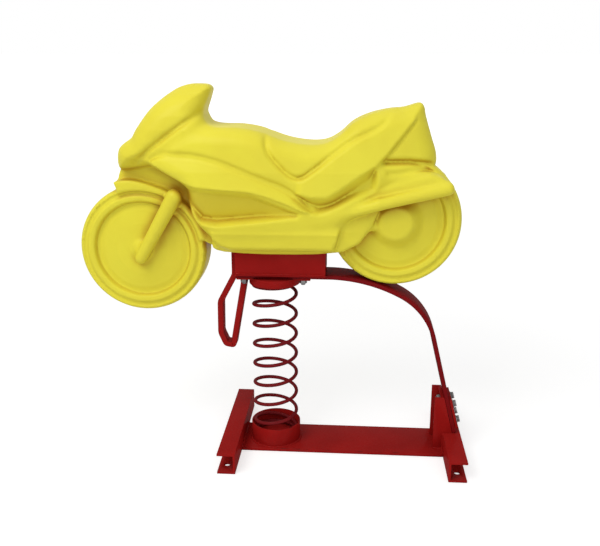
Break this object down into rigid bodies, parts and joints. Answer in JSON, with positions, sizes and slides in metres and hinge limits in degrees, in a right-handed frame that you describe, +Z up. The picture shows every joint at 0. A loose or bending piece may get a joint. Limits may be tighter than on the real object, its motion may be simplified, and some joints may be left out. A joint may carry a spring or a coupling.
{
  "type": "spring rider",
  "caption": "Playground spring rider: a moulded motorcycle body on a coil spring and a bent leaf spring, over a steel base frame.",
  "frame": {"origin": "on the ground, below the coil spring's axis and in the motorcycle's middle plane", "axes": "+Z up, -X towards the motorcycle's front, -Y towards its left side"},
  "size_m": [0.9001, 0.35, 0.8673],
  "materials": {
    "yellow_shell": "moulded, semi-gloss",
    "red_paint": "gloss enamel",
    "leaf_paint": "gloss enamel",
    "coil_paint": "gloss enamel",
    "zinc": "zinc plated"
  },
  "bodies": {
    "base": {"front_cross_channel": "red_paint", "rear_cross_channel": "red_paint", "spine_plate": "red_paint", "lower_spring_cup": "red_paint", "leaf_foot_bracket": "red_paint", "leaf_foot_clamp": "red_paint", "leaf_foot_bolts": "zinc", "leaf_foot_washers": "zinc", "leaf_foot_nuts": "zinc"},
    "springs": {"coil_spring": "coil_paint", "leaf_spring": "leaf_paint"},
    "rider": {"upper_spring_cup": "red_paint", "leaf_bolts": "zinc", "leaf_washers": "zinc", "leaf_nuts": "zinc", "platform_channel": "red_paint", "platform_base_plate": "red_paint", "platform_front_end": "red_paint", "platform_rear_end": "red_paint", "stop_loop": "red_paint", "stop_loop_bolts": "zinc", "stop_loop_nuts": "zinc", "body_bolts": "zinc", "body_washers": "zinc", "body_nuts": "zinc", "body_insert": "zinc", "shell_left": "yellow_shell", "shell_right": "yellow_shell"}
  },
  "joints": [
    {"name": "sway", "type": "hinge", "parent": "base", "child": "springs", "pos_m": [0, 0, 0.05], "axis": [1, 0, 0], "range_deg": [-4, 4], "stiffness_Nm_per_rad": 1500, "deforming": ["coil_spring", "leaf_spring"]},
    {"name": "rock", "type": "hinge", "parent": "springs", "child": "rider", "pos_m": [0.3464, 0, 0.3509], "axis": [0, 1, 0], "range_deg": [-6, 5], "stiffness_Nm_per_rad": 2500, "springref_deg": 1.72, "deforming": ["coil_spring", "leaf_spring"]}
  ]
}
